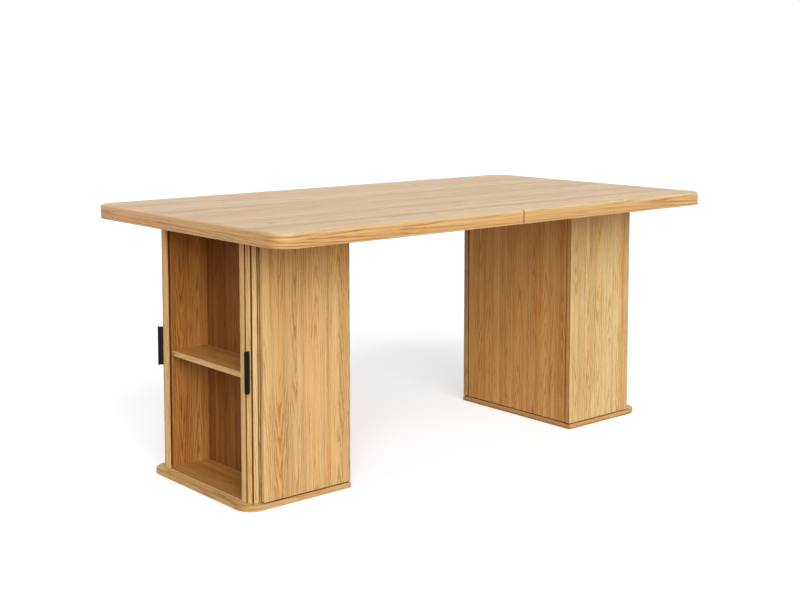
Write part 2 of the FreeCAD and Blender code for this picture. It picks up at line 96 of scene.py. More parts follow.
# Curtain doors, drawn for the cabinet at +X and its +Y half, and mirrored from there. The shut
# right doors give the sizes. Slats have numbered seats along the track: seat 0 touches the
# corner's start, lower seats lie on the front, higher ones on the corner and in the pocket.
SLATS_ACROSS = 13
CORNER_RADIUS = 28.5 * MM
SLAT_ROUND = 1.6 * MM
TONGUE_LENGTH = 4.5 * MM
TONGUE_THICKNESS = 4.0 * MM
TONGUE_WIDTH = 6.0 * MM
CANVAS_THICKNESS = 0.6 * MM
CANVAS_CLEARANCE = 0.1 * MM
CANVAS_END_INSET = 6.0 * MM
CANVAS_SLACK = 0.1 * MM
CANVAS_ROWS = 24
CANVAS_COLUMNS_PER_SLAT = 6
SHRINK = 0.2 * MM
FILLER_BACK_INSET = 9 * SHRINK
GRIP_LOW, GRIP_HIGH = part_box("right_far_grip_slat")
LEAD_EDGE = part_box("right_far_lead_rail")[1].y
TRAVEL = JOINTS["right_far_door_slide"]["range_m"][1]
PITCH = TRAVEL / SLATS_ACROSS
SLAT_WIDTH = GRIP_HIGH.y - GRIP_LOW.y
SLAT_THICKNESS = GRIP_HIGH.x - GRIP_LOW.x
DOOR_BOTTOM = GRIP_LOW.z
DOOR_TOP = GRIP_HIGH.z
CORNER_X = GRIP_HIGH.x - CORNER_RADIUS
CORNER_Y = LEAD_EDGE + (SLATS_ACROSS - 0.5) * PITCH
BACK_RADIUS = CORNER_RADIUS - SLAT_THICKNESS
SEAT_TURN = 2 * math.atan(PITCH / 2 / BACK_RADIUS)
QUARTER_TURN = math.pi / 2
SEATS_ON_CORNER = math.floor(QUARTER_TURN / SEAT_TURN)
JOINT_RADIUS = math.hypot(BACK_RADIUS, PITCH / 2)
POCKET_START = CORNER_X + JOINT_RADIUS * math.cos((SEATS_ON_CORNER + 0.5) * SEAT_TURN)
CANVAS_RADIUS = BACK_RADIUS - CANVAS_CLEARANCE - CANVAS_THICKNESS / 2
OPEN_GRIP_SEAT = 1
FIRST_FRONT_SEAT = OPEN_GRIP_SEAT + 1 - SLATS_ACROSS
LAST_SEAT_SHUT = SEATS_ON_CORNER + 1
LAST_SEAT_OPEN = LAST_SEAT_SHUT + SLATS_ACROSS

# Where the slats of a door wait inside its lead rail
WAIT_START = CORNER_Y + PITCH / 2 - 0.24 * MM
WAIT_WIDTH = 20.4 * MM
WAIT_HALVINGS = 40


# Shader nodes


def node(tree, kind, inputs=None, **settings):
    """Add a shader node with its settings, and give its inputs values or links."""
    made = tree.nodes.new(kind)
    for name, value in settings.items():
        setattr(made, name, value)
    for name, value in (inputs or {}).items():
        socket = made.inputs[name]
        if isinstance(value, bpy.types.NodeSocket):
            tree.links.new(value, socket)
        else:
            socket.default_value = value
    return made


def calculate(tree, operation, *values):
    return node(tree, "ShaderNodeMath", dict(enumerate(values)), operation=operation).outputs[0]


def add(tree, first, second):
    return calculate(tree, "ADD", first, second)


def subtract(tree, first, second):
    return calculate(tree, "SUBTRACT", first, second)


def multiply(tree, first, second):
    return calculate(tree, "MULTIPLY", first, second)


def absolute(tree, value):
    return calculate(tree, "ABSOLUTE", value)


def calculate_vector(tree, operation, first, second):
    inputs = {0: first, 1: second}
    return node(tree, "ShaderNodeVectorMath", inputs, operation=operation).outputs[0]


def noise(tree, vector, across, along, detail=2.0, roughness=0.5):
    """Noise on a board's coordinates, with one scale across its grain and another along it."""
    scaled = calculate_vector(tree, "MULTIPLY", vector, (across, across, along))
    inputs = {"Vector": scaled, "Scale": 1.0, "Detail": detail, "Roughness": roughness}
    return node(tree, "ShaderNodeTexNoise", inputs).outputs["Fac"]


def even_noise(tree, vector, scale, detail=2.0):
    return noise(tree, vector, scale, scale, detail)


def remap(tree, value, low, high, to_low=0.0, to_high=1.0, smooth=False):
    inputs = dict(enumerate((value, low, high, to_low, to_high)))
    kind = "SMOOTHSTEP" if smooth else "LINEAR"
    return node(tree, "ShaderNodeMapRange", inputs, interpolation_type=kind).outputs[0]


def blend_colours(tree, factor, first, second, mode="MIX"):
    inputs = {"Factor": factor, 6: first, 7: second}
    return node(tree, "ShaderNodeMix", inputs, data_type="RGBA", blend_type=mode).outputs[2]


def choose(tree, factor, first, second):
    """One set of coordinates where the factor is 0, and the other where it is 1."""
    inputs = {"Factor": factor, 4: first, 5: second}
    return node(tree, "ShaderNodeMix", inputs, data_type="VECTOR").outputs[1]


def paint(red, green, blue):
    """A colour given as it shows on a screen, from 0 to 255, as a shader wants it."""
    return tuple((value / 255) ** 2.2 for value in (red, green, blue)) + (1.0,)


def new_material(name):
    """An empty material: its tree, and its surface shader."""
    material = bpy.data.materials.new(name)
    material.use_nodes = True
    tree = material.node_tree
    return material, tree, tree.nodes["Principled BSDF"]


def object_place(tree):
    return node(tree, "ShaderNodeTexCoord").outputs["Object"]


def split(tree, vector):
    return node(tree, "ShaderNodeSeparateXYZ", {"Vector": vector}).outputs


def put_together(tree, x, y, z):
    return node(tree, "ShaderNodeCombineXYZ", {"X": x, "Y": y, "Z": z}).outputs[0]


def roughen(tree, surface, height, strength, distance):
    inputs = {"Height": height, "Strength": strength, "Distance": distance}
    tree.links.new(node(tree, "ShaderNodeBump", inputs).outputs[0], surface.inputs["Normal"])


# Oak

# Its figure. A noise has its scales across and along the grain in repeats per metre, its detail
# and its roughness. Arches and sway count in growth rings. A streak has a weight and a noise.
STAVE_WIDTH = 58 * MM
STAVE_WANDER = 0.35
STAVE_CENTRES = (0.1, 0.9)
STAVE_TONE = 0.07
WANDER_NOISE = (5, 0.7, 2.0, 0.5)
ARCH_CURVE = 1.4
ARCH_RINGS = 9.0
RINGS_PER_METRE = 11.0
RAGGED_BY = 110 * MM
RAGGED_NOISE = (130, 26, 3.0, 0.6)
SWAY_RINGS = 3.5
SWAY_NOISE = (14, 2.5, 1.0, 0.5)
RING_CREST = 0.14
RING_END = 0.70
FLAME_BREAKS = (0.32, 0.58)
FLAME_NOISE = (42, 6, 2.0, 0.5)
FLAME_DEPTH = 0.27
STREAKS = (
    (0.42, (30, 0.35, 1.0, 0.5)),
    (0.42, (95, 0.8, 2.0, 0.6)),
    (0.42, (230, 1.6, 1.0, 0.5)),
    (0.32, (520, 5.0, 1.0, 0.5)),
    (0.16, (1600, 34, 1.0, 0.5)),
)
TONE_RANGE = (0.51, 1.13)
PORE_RANGE = (0.60, 0.72)
PORE_NOISE = (1300, 45, 1.0, 0.5)
PORES_IN_FLAMES = (0.1, 0.6)
PORES_OFF_FLAMES = 0.25
BLUSH_RANGE = (0.42, 0.66)
BLUSH_NOISE = (55, 0.6, 1.0, 0.5)

# Its relief and its colours. A list of three runs from dark to pale.
PORE_SHADE = 0.55
PORE_ROUGHNESS = 0.25
TONE_RELIEF = 0.3
RELIEF_STRENGTH = 0.25
RELIEF_DEPTH = 0.2 * MM
BAND_STRETCH = 0.42
SLAT_STEP = (0.37, 0.53, 0.71)
OAK_OUTSIDE = [paint(166, 122, 70), paint(205, 169, 116), paint(227, 201, 154)]
# A paler oak for the right cabinet's sides: painted light
OAK_PAINTED_LIGHT = [paint(172, 134, 84), paint(210, 182, 134), paint(231, 210, 170)]
OAK_SLATS = [paint(170, 129, 78), paint(208, 177, 126), paint(229, 206, 162)]
# A slightly darker oak for the base boards and the shelves' front edges: painted shade
OAK_EDGES_PAINTED_SHADE = [paint(160, 118, 68), paint(198, 163, 112), paint(219, 194, 149)]
# A darker, warmer oak for the back panels: painted shade
OAK_BACK_PAINTED_SHADE = [paint(158, 109, 56), paint(198, 151, 90), paint(221, 185, 130)]
# Darker oak inside the cabinets: painted shade
OAK_INSIDE_PAINTED_SHADE = [paint(129, 82, 39), paint(173, 122, 66), paint(199, 152, 94)]
# Darkest oak, for the partitions and the top boards: painted shade
OAK_DEEP_PAINTED_SHADE = [paint(92, 54, 25), paint(128, 82, 41), paint(154, 107, 59)]
OAK_WARM = paint(209, 164, 103)
OAK_PORE = paint(112, 70, 34)
# Painted shade on the slats' long sides, in the gaps between them
SLAT_SIDE_PAINTED_SHADE = paint(146, 98, 52)
PAINTED_SHADE_STRIP = 0.7 * MM
# A pale painted highlight in the doors' track
TRACK_PAINTED_HIGHLIGHT = paint(236, 208, 160)
# Painted shade on the tabletop's edges at the seam
SEAM_PAINTED_SHADE = paint(100, 62, 30)
# Painted shade in the rebate at a panel's foot and along its joints
PAINTED_SHADE_DARK = paint(56, 34, 17)
JOINT_PAINTED_SHADE = 0.85
INNER_END_SHADE = 0.7
END_BAND_SHADE = 0.35
END_BAND_REACH = 0.3


def make_oak_figure():
    """Oak's figure on coordinates whose Z runs along its grain: a tone, pores and a blush."""
    tree = bpy.data.node_groups.new("oak figure", "ShaderNodeTree")
    tree.interface.new_socket("Grain", in_out="INPUT", socket_type="NodeSocketVector")
    for name in ("Tone", "Pores", "Blush"):
        tree.interface.new_socket(name, in_out="OUTPUT", socket_type="NodeSocketFloat")
    grain = tree.nodes.new("NodeGroupInput").outputs["Grain"]
    place = split(tree, grain)
    across = add(tree, place["X"], place["Y"])
    along = place["Z"]

    # Each stave has its own number, and its own place across the log
    wander = multiply(tree, noise(tree, grain, *WANDER_NOISE), STAVE_WANDER)
    stave = add(tree, calculate(tree, "DIVIDE", across, STAVE_WIDTH), wander)
    number = calculate(tree, "FLOOR", stave)
    dice = node(tree, "ShaderNodeTexWhiteNoise", {"W": number}, noise_dimensions="1D")
    roll = node(tree, "ShaderNodeSeparateColor", {"Color": dice.outputs["Color"]})
    centre = remap(tree, roll.outputs["Red"], 0, 1, *STAVE_CENTRES)
    offset = subtract(tree, calculate(tree, "FRACT", stave), centre)

    # Growth rings cross the face as long ragged arches, which show in broken flames
    curved = calculate(tree, "POWER", absolute(tree, offset), ARCH_CURVE)
    arch = multiply(tree, curved, ARCH_RINGS)
    ragged = multiply(tree, noise(tree, grain, *RAGGED_NOISE), RAGGED_BY)
    climb = add(tree, along, add(tree, ragged, roll.outputs["Blue"]))
    turned = calculate(tree, "SIGN", subtract(tree, roll.outputs["Green"], 0.5))
    climb = multiply(tree, climb, multiply(tree, turned, RINGS_PER_METRE))
    sway = multiply(tree, noise(tree, grain, *SWAY_NOISE), SWAY_RINGS)
    climb = add(tree, arch, climb)
    rings = calculate(tree, "FRACT", add(tree, climb, sway))
    fade_in = remap(tree, rings, 0.0, RING_CREST, smooth=True)
    fade_out = remap(tree, rings, RING_CREST, RING_END, 1.0, 0.0, smooth=True)
    broken = remap(tree, noise(tree, grain, *FLAME_NOISE), *FLAME_BREAKS, smooth=True)
    flames = multiply(tree, multiply(tree, fade_in, fade_out), broken)

    # Straight streaks from broad ones to fibres, and the pores that open in the early wood
    tone = remap(tree, roll.outputs["Green"], 0, 1, -STAVE_TONE, STAVE_TONE)
    for weight, scales in STREAKS:
        tone = add(tree, tone, multiply(tree, noise(tree, grain, *scales), weight))
    tone = subtract(tree, tone, multiply(tree, flames, FLAME_DEPTH))
    tone = remap(tree, tone, *TONE_RANGE)
    pores = remap(tree, noise(tree, grain, *PORE_NOISE), *PORE_RANGE)
    in_flames = remap(tree, flames, *PORES_IN_FLAMES, PORES_OFF_FLAMES, 1.0)
    pores = multiply(tree, pores, in_flames)
    blush = remap(tree, noise(tree, grain, *BLUSH_NOISE), *BLUSH_RANGE)
    outputs = tree.nodes.new("NodeGroupOutput")
    for name, value in (("Tone", tone), ("Pores", pores), ("Blush", blush)):
        tree.links.new(value, outputs.inputs[name])
    return tree


OAK_FIGURE = make_oak_figure()
GRAIN_ORDER = {"x": "YZX", "y": "XZY", "z": "XYZ"}


def along_grain(tree, place, grain, shift=(0, 0, 0)):
    """Coordinates with the grain's own axis last, moved so that no two boards match."""
    axes = split(tree, calculate_vector(tree, "ADD", place, shift))
    return put_together(tree, *[axes[axis] for axis in GRAIN_ORDER[grain]])


def finish_oak(
    tree, surface, coordinates, colours=OAK_OUTSIDE, roughness=0.45, gloss=0.25,
    painted_mark=None, painted_mark_colour=SLAT_SIDE_PAINTED_SHADE, painted_shade=None,
):
    """Satin oak on grain coordinates.

    Where one mask is 1, a painted shade or painted highlight colour shows;
    where the other is 1, the darker inside colours, a painted shade, show.
    """
    figure = node(tree, "ShaderNodeGroup", {}, node_tree=OAK_FIGURE)
    tree.links.new(coordinates, figure.inputs["Grain"])
    tone = figure.outputs["Tone"]
    pores = figure.outputs["Pores"]
    if painted_shade:
        colours = [blend_colours(tree, painted_shade, *pair) for pair in zip(colours, OAK_INSIDE_PAINTED_SHADE)]
    dark, middle, pale = colours
    colour = blend_colours(tree, remap(tree, tone, 0.0, 0.5), dark, middle)
    colour = blend_colours(tree, remap(tree, tone, 0.5, 1.0), colour, pale)
    warmth = tuple(warm / plain for warm, plain in zip(OAK_WARM, OAK_OUTSIDE[1]))
    warm = blend_colours(tree, 1.0, colour, warmth, "MULTIPLY")
    colour = blend_colours(tree, figure.outputs["Blush"], colour, warm)
    colour = blend_colours(tree, multiply(tree, pores, PORE_SHADE), colour, OAK_PORE)
    if painted_mark:
        colour = blend_colours(tree, painted_mark, colour, painted_mark_colour)
    tree.links.new(colour, surface.inputs["Base Color"])
    rougher = remap(tree, pores, 0, 1, roughness, roughness + PORE_ROUGHNESS)
    tree.links.new(rougher, surface.inputs["Roughness"])
    surface.inputs["Specular IOR Level"].default_value = gloss
    relief = subtract(tree, multiply(tree, tone, TONE_RELIEF), pores)
    roughen(tree, surface, relief, strength=RELIEF_STRENGTH, distance=RELIEF_DEPTH)


def board_oak(name, grain, shift, colours=OAK_OUTSIDE):
    """Oak veneer whose grain runs one way over the whole board."""
    material, tree, surface = new_material(name)
    finish_oak(tree, surface, along_grain(tree, object_place(tree), grain, shift), colours)
    return material


def panel_oak(name, shift, foot):
    """An upright outer board, with painted shade at its foot's rebate and where it meets its
    neighbour.

    A side has painted shade on its inside face and on the end that faces the other cabinet.
    """
    low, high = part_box(name)
    material, tree, surface = new_material(name + "_oak")
    place = object_place(tree)
    axes = split(tree, place)
    rebate = calculate(tree, "LESS_THAN", axes["Z"], foot)
    sideways = absolute(tree, axes["Y"])
    side_painted_shade = None
    # The right cabinet's sides take the paler oak: painted light
    colours = OAK_PAINTED_LIGHT if name.startswith("right") else OAK_OUTSIDE
    if name.endswith("back_panel"):
        # The back panels take the darker, warmer oak: painted shade
        colours = OAK_BACK_PAINTED_SHADE
        joint = calculate(tree, "GREATER_THAN", sideways, high.y - BACK_JOINT)
    else:
        inner_x, outer_x = sorted((abs(low.x), abs(high.x)))
        inner_y = min(abs(low.y), abs(high.y))
        outwards = absolute(tree, axes["X"])
        # Painted shade on the end facing the other cabinet and on the inside face
        inner_end = calculate(tree, "LESS_THAN", outwards, inner_x + BOARD_RIM)
        inside_face = calculate(tree, "LESS_THAN", sideways, inner_y + BOARD_RIM)
        side_painted_shade = calculate(tree, "MAXIMUM", inner_end, inside_face)
        side_painted_shade = multiply(tree, side_painted_shade, INNER_END_SHADE)
        on_edge = calculate(tree, "GREATER_THAN", outwards, outer_x - BOARD_RIM)
        beside_doors = calculate(tree, "LESS_THAN", sideways, inner_y + DOOR_JOINT)
        joint = multiply(tree, on_edge, beside_doors)
    # Painted shade in the rebate and along the joints
    painted_shade_lines = calculate(tree, "MAXIMUM", rebate, multiply(tree, joint, JOINT_PAINTED_SHADE))
    coordinates = along_grain(tree, place, "z", shift)
    finish_oak(tree, surface, coordinates, colours, painted_mark=painted_shade_lines, painted_mark_colour=PAINTED_SHADE_DARK, painted_shade=side_painted_shade)
    return material


def shelf_oak(name, shift):
    """A shelf in the inside colour, a painted shade, whose front edge has the slightly darker edge
    oak, also painted shade.
    """
    low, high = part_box(name)
    front = max(abs(low.x), abs(high.x))
    material, tree, surface = new_material(name + "_oak")
    place = object_place(tree)
    outwards = absolute(tree, split(tree, place)["X"])
    painted_shade = calculate(tree, "LESS_THAN", outwards, front - BOARD_RIM)
    coordinates = along_grain(tree, place, "y", shift)
    finish_oak(tree, surface, coordinates, OAK_EDGES_PAINTED_SHADE, painted_shade=painted_shade)
    return material


def over_shelf_space(tree, place, cabinet):
    """1 above or below a cabinet's shelf space, as far as its doors, where the boards get painted
    shade.
    """
    low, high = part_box(cabinet + "_shelf")
    axes = split(tree, place)
    outwards = absolute(tree, axes["X"])
    behind_doors = calculate(tree, "LESS_THAN", outwards, CORNER_X + BACK_RADIUS)
    before_partition = calculate(tree, "GREATER_THAN", outwards, min(abs(low.x), abs(high.x)))
    sideways = absolute(tree, axes["Y"])
    between_sides = calculate(tree, "LESS_THAN", sideways, high.y + MM)
    in_depth = multiply(tree, behind_doors, before_partition)
    return multiply(tree, in_depth, between_sides)


def edge_coordinates(tree, place, centre, half_length, half_width, radius, shift):
    """Grain coordinates for the band round a board's edge, which starts at the two far corners."""
    axes = split(tree, place)
    x = subtract(tree, absolute(tree, axes["X"]), centre)
    y = axes["Y"]
    spread = subtract(tree, x, absolute(tree, y))
    on_end = calculate(tree, "GREATER_THAN", spread, half_length - half_width)
    round_corner = half_length + half_width - (2 - math.sqrt(2)) * radius
    run_on = add(tree, y, round_corner)
    side = calculate(tree, "SIGN", axes["X"])
    distance = node(tree, "ShaderNodeMix", {"Factor": on_end, 2: x, 3: run_on}, data_type="FLOAT")
    distance = multiply(tree, distance.outputs[0], side)
    height = add(tree, axes["Z"], shift[2])
    distance = multiply(tree, distance, BAND_STRETCH)
    return put_together(tree, height, shift[0], add(tree, distance, shift[1]))


def inside_track(tree, place, on_face, inner_end):
    """1 on the walls and the floor of the groove that the doors run in, which get a pale painted
    highlight.
    """
    axes = split(tree, place)
    outwards = absolute(tree, axes["X"])
    sideways = absolute(tree, axes["Y"])
    past_x = calculate(tree, "MAXIMUM", subtract(tree, outwards, CORNER_X), 0.0)
    past_y = calculate(tree, "MAXIMUM", subtract(tree, sideways, CORNER_Y), 0.0)
    from_corner = put_together(tree, past_x, past_y, 0.0)
    distance = node(tree, "ShaderNodeVectorMath", {0: from_corner}, operation="LENGTH")
    near_track = calculate(tree, "LESS_THAN", distance.outputs["Value"], CORNER_RADIUS)
    off_inner_end = calculate(tree, "GREATER_THAN", outwards, inner_end + MM)
    near_track = multiply(tree, near_track, off_inner_end)
    return multiply(tree, near_track, subtract(tree, 1.0, on_face))


def banded_oak(name, grain, shift, node_name, radius, rim, seam=0.0, cabinet=None, **finish):
    """A board with veneered faces, and a band round its edge with painted shade towards its ends.
    """
    low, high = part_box(node_name)
    ends = sorted((abs(low.x), abs(high.x)))
    if seam:
        ends[0] = 0.0
    centre = 0.0 if seam else sum(ends) / 2
    half_length = ends[1] - centre
    material, tree, surface = new_material(name)
    place = object_place(tree)
    axes = split(tree, place)
    outwards = absolute(tree, axes["X"])
    above = calculate(tree, "GREATER_THAN", axes["Z"], high.z - rim)
    below = calculate(tree, "LESS_THAN", axes["Z"], low.z + rim)
    on_face = calculate(tree, "MAXIMUM", above, below)
    band = edge_coordinates(tree, place, centre, half_length, high.y, radius, shift)
    coordinates = choose(tree, on_face, band, along_grain(tree, place, grain, shift))
    if seam:
        # Painted shade on the edges beside the seam
        painted_mark = subtract(tree, calculate(tree, "LESS_THAN", outwards, seam), on_face)
        painted_mark_colour = SEAM_PAINTED_SHADE
    else:
        # A pale painted highlight in the track
        painted_mark = inside_track(tree, place, on_face, ends[0])
        painted_mark_colour = TRACK_PAINTED_HIGHLIGHT
    # Painted shade on the edge band towards its ends
    from_centre = absolute(tree, subtract(tree, outwards, centre))
    turning = half_length - END_BAND_REACH * radius
    at_end = remap(tree, from_centre, turning, half_length, 0.0, END_BAND_SHADE, smooth=True)
    on_band = subtract(tree, 1.0, on_face)
    painted_shade = multiply(tree, at_end, on_band)
    if cabinet:
        in_shelf_space = multiply(tree, on_face, over_shelf_space(tree, place, cabinet))
        painted_shade = calculate(tree, "MAXIMUM", painted_shade, in_shelf_space)
    finish_oak(
        tree, surface, coordinates, painted_mark=painted_mark, painted_mark_colour=painted_mark_colour, painted_shade=painted_shade, **finish
    )
    return material


def slat_coordinates(tree, local, number):
    """A slat's own coordinates, moved by its number so that no two slats match."""
    shift = node(tree, "ShaderNodeVectorMath", {0: SLAT_STEP, "Scale": number}, operation="SCALE")
    return calculate_vector(tree, "ADD", local, shift.outputs[0])


def painted_shade_sides(tree, local, half_width, trailing=None):
    """1 on a slat's long sides, painted shade between slats, or only on a lead rail's side towards
    them.
    """
    beside = split(tree, local)["X"]
    if trailing:
        beside = multiply(tree, beside, trailing)
    else:
        beside = absolute(tree, beside)
    return calculate(tree, "GREATER_THAN", beside, half_width - PAINTED_SHADE_STRIP)


def modelled_slat_oak():
    """For the modelled slats: each carries where its points were, and its number."""
    material, tree, surface = new_material("slat_oak")
    local = node(tree, "ShaderNodeAttribute", attribute_name="grain").outputs["Vector"]
    number = node(tree, "ShaderNodeAttribute", attribute_name="number").outputs["Fac"]
    painted_mark = painted_shade_sides(tree, local, SLAT_WIDTH / 2)
    finish_oak(tree, surface, slat_coordinates(tree, local, number), OAK_SLATS, painted_mark=painted_mark)
    return material


def single_slat_oak(name, centre, turn, half_width, number, trailing=None):
    """For a lead rail or a grip slat, whose middle and turn about Z are known."""
    material, tree, surface = new_material(name)
    inputs = {"Vector": object_place(tree), "Center": centre, "Angle": -turn}
    local = node(tree, "ShaderNodeVectorRotate", inputs, rotation_type="Z_AXIS").outputs[0]
    axes = split(tree, calculate_vector(tree, "SUBTRACT", local, centre))
    local = put_together(tree, axes["Y"], axes["X"], axes["Z"])
    painted_mark = painted_shade_sides(tree, local, half_width, trailing)
    finish_oak(tree, surface, slat_coordinates(tree, local, number), OAK_SLATS, painted_mark=painted_mark)
    return material


# Other finishes, with the scales of their grit, clouds and marks in repeats per metre

NOISE_RANGE = (0.3, 0.7)
COAT_GRIT = 2600
COAT_CLOUDS = 90
COAT_ROUGHNESS = (0.46, 0.60)
PLATING_MARKS = 900
PLATING_CLOUDS = 60
PLATING_ROUGHNESS = (0.28, 0.46)
BRUSH_ACROSS = 2400
BRUSH_ALONG = 30
THREAD = 0.9 * MM
WEAVE_DEPTH = 0.18
SLUB_NOISE = (900, 70)
SLUB_RANGE = (0.2, 0.9)
WEAR_NOISE = (22, 9, 3.0)
WEAR_RANGE = (0.45, 0.75)
WEAR_SHADE = 0.35
PLASTIC_GRIT = 3000
PLASTIC_SCUFFS = 260
PLASTIC_ROUGHNESS = (0.45, 0.65)
SCUFF_RANGE = (0.5, 0.7)
SCUFF_SHADE = 0.6
LOW_GLOSS = 0.15
CLOTH_SHEEN = 0.3
DULL = 0.9


def black_coat():
    """Matt black powder coat."""
    material, tree, surface = new_material("black_coat")
    place = object_place(tree)
    grit = even_noise(tree, place, COAT_GRIT)
    clouds = even_noise(tree, place, COAT_CLOUDS)
    colour = blend_colours(tree, clouds, paint(11, 11, 12), paint(17, 17, 18))
    tree.links.new(colour, surface.inputs["Base Color"])
    tree.links.new(remap(tree, grit, *NOISE_RANGE, *COAT_ROUGHNESS), surface.inputs["Roughness"])
    surface.inputs["Specular IOR Level"].default_value = LOW_GLOSS
    roughen(tree, surface, grit, strength=0.3, distance=0.05 * MM)
    return material


def plated_metal(name, pale, dark, brushed=False):
    """Plated steel: cloudy for screws and pins, brushed lengthwise for sheet."""
    material, tree, surface = new_material(name)
    place = object_place(tree)
    if brushed:
        place = along_grain(tree, place, "x")
        marks = noise(tree, place, BRUSH_ACROSS, BRUSH_ALONG)
    else:
        marks = even_noise(tree, place, PLATING_MARKS)
    clouds = even_noise(tree, place, PLATING_CLOUDS)
    colour = blend_colours(tree, remap(tree, clouds, *NOISE_RANGE), dark, pale)
    tree.links.new(colour, surface.inputs["Base Color"])
    surface.inputs["Metallic"].default_value = 1.0
    roughness = remap(tree, marks, *NOISE_RANGE, *PLATING_ROUGHNESS)
    tree.links.new(roughness, surface.inputs["Roughness"])
    roughen(tree, surface, marks, strength=0.2, distance=0.03 * MM)
    return material


def brown_canvas():
    """Plain woven backing cloth, on the lengths and heights that the cloth carries."""
    material, tree, surface = new_material("brown_canvas")
    cloth = node(tree, "ShaderNodeAttribute", attribute_name="grain").outputs["Vector"]
    axes = split(tree, cloth)
    warp = calculate(tree, "SINE", multiply(tree, axes["X"], math.tau / THREAD))
    weft = calculate(tree, "SINE", multiply(tree, axes["Z"], math.tau / THREAD))
    weave = multiply(tree, warp, weft)
    slub = noise(tree, cloth, *SLUB_NOISE)
    worn = noise(tree, cloth, *WEAR_NOISE)
    shade = add(tree, multiply(tree, weave, WEAVE_DEPTH), slub)
    threads = remap(tree, shade, *SLUB_RANGE)
    colour = blend_colours(tree, threads, paint(92, 66, 42), paint(146, 112, 78))
    worn = remap(tree, worn, *WEAR_RANGE, 0.0, WEAR_SHADE)
    colour = blend_colours(tree, worn, colour, paint(166, 136, 102))
    tree.links.new(colour, surface.inputs["Base Color"])
    surface.inputs["Roughness"].default_value = DULL
    surface.inputs["Specular IOR Level"].default_value = LOW_GLOSS
    surface.inputs["Sheen Weight"].default_value = CLOTH_SHEEN
    roughen(tree, surface, shade, strength=0.5, distance=0.15 * MM)
    return material


def grey_plastic():
    """Moulded glides with a fine spark-eroded texture."""
    material, tree, surface = new_material("grey_plastic")
    place = object_place(tree)
    grit = even_noise(tree, place, PLASTIC_GRIT, 1.0)
    scuffs = even_noise(tree, place, PLASTIC_SCUFFS, 3.0)
    scuffed = remap(tree, scuffs, *SCUFF_RANGE, 0.0, SCUFF_SHADE)
    colour = blend_colours(tree, scuffed, paint(84, 82, 80), paint(120, 117, 113))
    tree.links.new(colour, surface.inputs["Base Color"])
    roughness = remap(tree, scuffs, *NOISE_RANGE, *PLASTIC_ROUGHNESS)
    tree.links.new(roughness, surface.inputs["Roughness"])
    roughen(tree, surface, grit, strength=0.25, distance=0.04 * MM)
    return material


BLACK_COAT = black_coat()
ZINC = plated_metal("zinc", paint(206, 206, 202), paint(176, 177, 178))
ZINC_SHEET = plated_metal("zinc_sheet", paint(204, 205, 203), paint(180, 181, 183), brushed=True)
NICKEL = plated_metal("nickel", paint(214, 210, 200), paint(192, 188, 178))
SLAT_OAK = modelled_slat_oak()
CANVAS = brown_canvas()
GREY_PLASTIC = grey_plastic()


# Finish of the CAD nodes

TABLETOP_RADIUS = 60 * MM
TABLETOP_RIM = 0.6 * MM
BASE_BOARD_RADIUS = 50 * MM
TOP_BOARD_RADIUS = 32 * MM
BOARD_RIM = 0.4 * MM
# Width of the painted shade at the tabletop's seam
SEAM_DARK = 1.9 * MM
# Widths of painted shade beside the doors and along the back panels' joints
DOOR_JOINT = 4.0 * MM
BACK_JOINT = 5.0 * MM
SHADOW_GAP_HEIGHT = 3.0 * MM
# Painted shade reaches this far up a panel's face from the rebate
FOOT_PAINTED_SHADE = 0.8 * MM
TABLETOP_SHIFT = (0.37, 0.53, 0.11)
DOWEL_SHIFT = (0.4, 0.2, 0.7)
LEAD_NUMBER = 3.1


def dress(name, material):
    """Give a CAD node its finish."""
    give(NODES[name], material)


def board_shift(name):
    """A place of its own in the log for each board."""
    dice = random.Random(name)
    return tuple(dice.uniform(0.0, 9.0) for _ in range(3))


def dress_tabletop():
    top = banded_oak(
        "tabletop_oak", "x", TABLETOP_SHIFT, "tabletop_right", TABLETOP_RADIUS, TABLETOP_RIM,
        seam=SEAM_DARK, gloss=0.5, roughness=0.36,
    )
    dress("tabletop_left", top)
    dress("tabletop_right", top)
    for side_name in ("near", "far"):
        name = "support_beam_" + side_name
        dress(name, board_oak(name + "_oak", "x", board_shift(name)))
    dress("joining_plates", ZINC_SHEET)
    beech = [paint(205, 164, 118), paint(222, 186, 142), paint(232, 200, 160)]
    dress("seam_dowels", board_oak("beech", "x", DOWEL_SHIFT, beech))


def dress_cabinet(cabinet):
    # The base boards take a slightly darker oak and the top boards the darkest: painted shade
    level_boards = (
        ("base_board", BASE_BOARD_RADIUS, OAK_EDGES_PAINTED_SHADE),
        ("top_board", TOP_BOARD_RADIUS, OAK_DEEP_PAINTED_SHADE),
    )
    for part, radius, colours in level_boards:
        name = cabinet + "_" + part
        oak = banded_oak(
            name + "_oak", "y", board_shift(name), name, radius, BOARD_RIM,
            cabinet=cabinet, colours=colours,
        )
        dress(name, oak)
    # The inner sides and the partition take darker oaks: painted shade
    upright_boards = (
        ("partition", OAK_DEEP_PAINTED_SHADE),
        ("near_inner_side", OAK_INSIDE_PAINTED_SHADE),
        ("far_inner_side", OAK_INSIDE_PAINTED_SHADE),
    )
    for part, colours in upright_boards:
        name = cabinet + "_" + part
        dress(name, board_oak(name + "_oak", "z", board_shift(name), colours))
    name = cabinet + "_shelf"
    dress(name, shelf_oak(name, board_shift(name)))
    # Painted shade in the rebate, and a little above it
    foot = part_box(cabinet + "_base_board")[1].z + SHADOW_GAP_HEIGHT + FOOT_PAINTED_SHADE
    for part in ("near_side", "far_side", "back_panel"):
        name = cabinet + "_" + part
        dress(name, panel_oak(name, board_shift(name), foot))
    dress(cabinet + "_shelf_pins", NICKEL)


